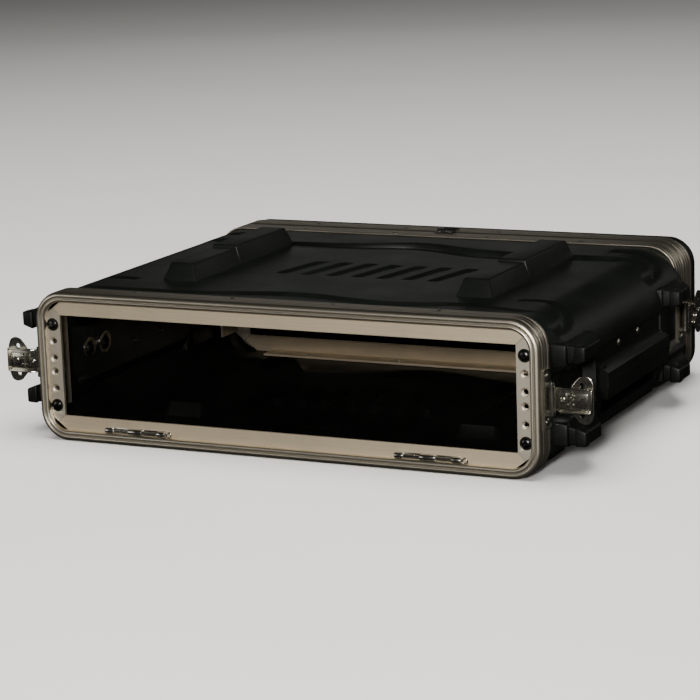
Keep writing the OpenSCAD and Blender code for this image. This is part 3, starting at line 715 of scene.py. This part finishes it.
def linkFlange(bm, up):  # folded edge of the link, above or below
    look = latch
    back = look["plate"][1] - 0.1
    outline = [(5.0, 0.2), (9.0, look["flange"]), (33.0, look["flange"]), (35.4, -0.4), (35.4, back),
               (5.0, back)]
    lower, upper = sorted(up * wall for wall in look["flangeWalls"])
    verts = [bm.verts.new((u, v, lower)) for u, v in outline]
    face = bmesh.ops.contextual_create(bm, geom=verts)["faces"]
    raised = vertsOf(bmesh.ops.extrude_face_region(bm, geom=face)["geom"])
    bmesh.ops.translate(bm, vec=(0, 0, upper - lower), verts=raised)
    roundOver(bm, edgesOf(verts + raised), 0.35, 2)


def linkMesh():
    look = latch
    bm = bmesh.new()
    low, high = look["plate"]
    reach, half = look["barrelHalf"], look["half"]
    turning(bm, [(-reach, look["pin"]), (-reach, look["barrel"]), (reach, look["barrel"]),
                 (reach, look["pin"])], (0, 0, 0), upward, 28)
    block(bm, (2.0, low, -half), (look["tip"], high, half), 0.4, 3)
    for up in (-1, 1):
        linkFlange(bm, up)
    block(bm, (34.4, -0.35, -10.0), (35.8, high - 0.1, 10.0), 0.3)
    block(bm, (12.0, 0.55, -6.2), (31.5, 1.6, 6.2), 0.3)  # sliding plate in the channel
    for ear in (-4.9, 2.9):
        block(bm, (13.4, -0.3, ear), (20.0, 0.7, ear + 2.0), 0.3)
    block(bm, (29.0, -1.3, -5.0), (31.0, 1.0, 5.0), 0.4, 3)  # hook bar
    u, v, long, thick = look["crossPin"]
    turning(bm, [(-long, 0.0), (-long, thick), (long, thick), (long, 0.0)], (u, v, 0), upward, 14)
    count, pitch, wire, outer = look["spring"]
    for turn in range(count):
        turning(bm, [(-wire, thick), (-wire, outer), (wire, outer), (wire, thick)],
                (u, v, pitch * (turn - (count - 1) / 2)), upward, 12)
    turning(bm, [(0, 0.0), (0.45, 1.5), (0, 2.3), (-0.5, 2.3), (-0.5, 0.0)], (9.0, 1.3, 0), -backward, 20)
    return bm


def studMesh():
    bm = bmesh.new()
    thick = latch["studRound"]
    turning(bm, [(-6.6, 0.0), (-6.5, 2.2), (-6.1, 3.6), (-5.3, 4.7), (-4.9, 4.9), (-4.9, thick),
                 (0.25, thick), (0.6, 2.6), (0.6, 0.0)], (latch["stud"], 0, 0), -backward, 32)
    return bm


def wingMesh():  # flat butterfly with rounded corners
    look = latch
    bm = bmesh.new()
    low, high = look["wing"]
    back, narrow = look["waist"]
    outline = look["lobe"] + [(u, -w) for u, w in reversed(look["lobe"])] + [(back, -narrow), (back, narrow)]
    verts = [bm.verts.new((look["stud"] + u, low, w)) for u, w in outline]
    face = bmesh.ops.contextual_create(bm, geom=verts)["faces"][0]
    bmesh.ops.bevel(bm, geom=list(face.verts), offset=look["lobeRound"], segments=5, profile=0.5,
                    affect="VERTICES", material=-1)
    face = max(bm.faces, key=lambda f: f.calc_area())
    raised = vertsOf(bmesh.ops.extrude_face_region(bm, geom=[face])["geom"])
    bmesh.ops.translate(bm, vec=(0, high - low, 0), verts=raised)
    rims = [e for e in bm.edges if len(e.link_faces) == 2 and e.calc_face_angle(0) > 1.2]
    roundOver(bm, [e for e in rims if abs(e.verts[0].co.y - e.verts[1].co.y) < 1e-4], 0.35, 2)
    return bm


def cutterMesh():  # stud bore and the finger holes of the lobes
    bm = bmesh.new()
    for u, w, radius in latch["holes"]:
        turning(bm, [(-9, 0.0), (-9, radius), (2, radius), (2, 0.0)], (latch["stud"] + u, 0, w), -backward,
                24)
    return bm


def makeLatch(end, side):
    made = {}
    for part, body, mesh in (("link", "link", linkMesh), ("stud", "link", studMesh),
                             ("wing", "wing", wingMesh), ("cutter", "wing", cutterMesh)):
        bm = mesh()
        placeLatch(bm, end, side)
        nodes = [] if part == "cutter" else [f"{end}_latch_{part}_{side}"]
        name = f"latch{part.title()}_{end}_{side}"
        made[part] = addPiece(bm, name, f"{end}_{body}_{side}", latchMetal, nodes, crease=40)
    cutAway(made["wing"], made["cutter"])


hinge = {"half": 31.0, "axis": (-2.9, -57.2), "barrel": 2.75, "bore": 1.36, "plate": (-3.0, 2.6),
         "rivets": 15.0, "knuckles": ((-31.0, -23.0), (-7.0, 7.0), (23.0, 31.0)), "pin": 1.3,
         "button": 1.75, "ring": 2.2, "ringGap": 4.0, "wire": 0.75}


def makeHingeLeaf(side, middle):
    h = hinge
    y, z = h["axis"]
    r, bore = h["barrel"], h["bore"]
    bm = bmesh.new()
    for low, high in h["knuckles"]:
        profile = [(low, bore), (low, r - 0.5), (low + 0.12, r - 0.15), (low + 0.45, r), (high - 0.45, r),
                   (high - 0.12, r - 0.15), (high, r - 0.5), (high, bore)]
        turning(bm, profile, (middle, y, z), rightward, 28)
        block(bm, (middle + low + 0.15, y + bore + 0.15, z - r), (middle + high - 0.15, -0.06, z - 1.2), 0.3)
    low, high = h["plate"]
    block(bm, (middle - h["half"], -0.8, z + low), (middle + h["half"], -0.06, z + high), 0.25)
    for x in (middle - h["rivets"], middle + h["rivets"]):
        head = [(0.7, 0.0), (1.0, 1.2), (1.2, 1.6), (1.2, 1.9), (0.7, 1.9)]
        shank = [(0.06, 0.0), (0.06, 1.0), (2.6, 1.0), (2.6, 0.0)]
        turning(bm, head, (x, 0, z), -backward, 20)
        turning(bm, shank, (x, 0, z), backward, 16)
    addPiece(bm, f"hingeLeaf_{side}", "case", hingeMetal, [f"hinge_leaf_{side}"], crease=40)


def makeHingePin(side, middle):  # loose pin with a button at one end and a pull ring at the other
    h = hinge
    y, z = h["axis"]
    end, thick, button = h["half"], h["pin"], h["button"]
    bm = bmesh.new()
    turning(bm, [(-end - 0.9, 0.0), (-end - 0.9, thick), (-end - 0.6, button), (-end - 0.15, button),
                 (-end - 0.1, thick), (end + 1.2, thick), (end + 1.5, 0.9), (end + 1.5, 0.0)],
            (middle, y, z), rightward, 24)
    ringMiddle = Vector((middle + end + h["ringGap"], y, z))
    verts = []
    for n in range(10):
        around = n * math.pi / 5
        verts.append(bm.verts.new(ringMiddle + rightward * (h["ring"] + h["wire"] * math.cos(around)) +
                                  backward * h["wire"] * math.sin(around)))
    edges = [bm.edges.new((verts[n - 1], verts[n])) for n in range(10)]
    bmesh.ops.spin(bm, geom=verts + edges, cent=ringMiddle, axis=backward, angle=2 * math.pi, steps=28,
                   use_merge=True, use_duplicate=False)
    addPiece(bm, f"hingePin_{side}", f"loose_pin_{side}", hingeMetal, [f"hinge_pin_{side}"],
             crease=40)


rackHoles = {"column": 232.55, "rows": (6.35, 22.225, 38.1), "mouth": 4.1, "sink": 1.6, "bore": 2.42,
             "inner": 2.0, "depth": 3.0, "pitch": 0.55}


def holeColumn():  # side and height of every rack hole
    return [(x, sign * row) for x in (-rackHoles["column"], rackHoles["column"]) for row in rackHoles["rows"]
            for sign in (1, -1)]


def holeFace(end):  # where the face of the rails is, and the direction into them
    return (0.0, backward) if end == "front" else (nodeBox("rear_rail_right")[1].y, -backward)


def sinkHoles(rail, end):  # countersink of each hole
    bm = bmesh.new()
    face, inward = holeFace(end)
    h = rackHoles
    for x, z in holeColumn():
        if x * rail.bound_box[0][0] > 0:
            turning(bm, [(-0.2, 0.0), (-0.2, h["mouth"] + 0.2), (h["sink"], h["bore"]), (h["sink"], 0.0)],
                    (x, face, z), inward, 32)
    cutAway(rail, addPiece(bm, "sinkCutter", "case", railMetal))


for end in ("front", "rear"):
    for edge in ("top", "bottom"):
        soften(f"{end}_flange_{edge}", "case", stripMetal, 0.25)
    for side in ("left", "right"):
        sinkHoles(soften(f"{end}_rail_{side}", "case", railMetal, 0.25), end)
        soften(f"{end}_latch_base_{side}", "case", latchMetal, 0.5)
        soften(f"{end}_latch_pin_{side}", "case", latchMetal, 0.3)
        makeLatch(end, side)
for side in ("left", "right"):
    soften(f"handle_{side}", "case", smoothPlastic, 1.4, 4)
    leafLow, leafHigh = nodeBox(f"hinge_leaf_{side}")
    makeHingeLeaf(side, (leafLow.x + leafHigh.x) / 2)
    makeHingePin(side, (leafLow.x + leafHigh.x) / 2)
    soften(f"cover_catch_{side}", "rear_cover", latchMetal, 0.3)
soften("keeper_clip", "case", boltMetal, 0.3)
for node in ("front_valance_rivets", "rear_valance_rivets", "rail_rivets"):
    soften(node, "case", rivetMetal, 0.2)
soften("handle_screws", "case", latchMetal, 0.2)
soften("wall_bolts", "case", boltMetal, 0.2)
soften("keeper_rivets", "case", rivetMetal, 0.2)
soften("latch_rivets", "case", latchMetal, 0.2)
soften("cover_rivets", "rear_cover", rivetMetal, 0.2)
soften("cover_shell", "rear_cover", shellPlastic, 0.6)
print("fittings ready")


def makeThreads():  # tapped thread of each open rack hole
    bm = bmesh.new()
    h = rackHoles
    profile = [(h["sink"] - 0.1, h["bore"] + 0.15), (h["sink"] - 0.1, h["bore"] - 0.1)]
    at = h["sink"]
    while at < h["depth"] - h["pitch"]:
        profile += [(at + h["pitch"] / 2, h["inner"]), (at + h["pitch"], h["bore"] - 0.1)]
        at += h["pitch"]
    profile += [(h["depth"] - 0.1, h["bore"] - 0.05), (h["depth"] - 0.1, h["bore"] + 0.15)]
    for end in ("front", "rear"):
        face, inward = holeFace(end)
        for x, z in holeColumn():
            if end == "rear" or abs(z) < h["rows"][-1]:  # the front corner holes hold screws
                turning(bm, profile, (x, face, z), inward, 24)
    addPiece(bm, "rackThreads", "case", latchMetal, crease=25)


# profiles are (depth, radius) from the face of the rail; the cross is half width, half length and floor
cornerScrew = {"washer": [(0.0, 6.0), (-0.5, 5.95), (-1.7, 4.9), (-1.95, 4.45), (-1.75, 4.05), (-0.9, 3.7),
                          (0.0, 2.2)],
               "head": [(2.0, 0.0), (2.0, 2.0), (-0.9, 2.0), (-1.0, 3.55), (-1.35, 3.72), (-1.75, 3.45),
                        (-2.1, 2.7), (-2.3, 1.7), (-2.38, 0.0)],
               "cross": (0.52, 2.1, -0.95), "firstTurn": 0.35, "turnStep": 0.8}


def makeCornerScrews():
    look = cornerScrew
    slim, long, floor = look["cross"]
    column, row = rackHoles["column"], rackHoles["rows"][-1]
    washers, heads, crosses = bmesh.new(), bmesh.new(), bmesh.new()
    for number, (x, z) in enumerate([(i * column, j * row) for i in (-1, 1) for j in (-1, 1)]):
        turning(washers, look["washer"], (x, 0, z), backward, 40)
        turning(heads, look["head"], (x, 0, z), backward, 36)
        turned = Matrix.Rotation(look["firstTurn"] + look["turnStep"] * number, 3, "Y")
        for across, tall in ((slim, long), (long, slim)):
            made = bmesh.ops.create_cube(crosses, size=1)["verts"]
            for v in made:
                v.co = (v.co.x * 2 * across, (v.co.y + 0.5) * 4 + floor - 4, v.co.z * 2 * tall)
            bmesh.ops.rotate(crosses, verts=made, cent=(0, 0, 0), matrix=turned)
            bmesh.ops.translate(crosses, verts=made, vec=(x, 0, z))
    addPiece(washers, "cornerWashers", "case", washerPlastic, ["cup_washers"], crease=50)
    screws = addPiece(heads, "cornerScrews", "case", screwMetal, ["rack_screws"], crease=40)
    cutAway(screws, addPiece(crosses, "crossCutter", "case", screwMetal))


makeThreads()
makeCornerScrews()
print("rack holes ready")
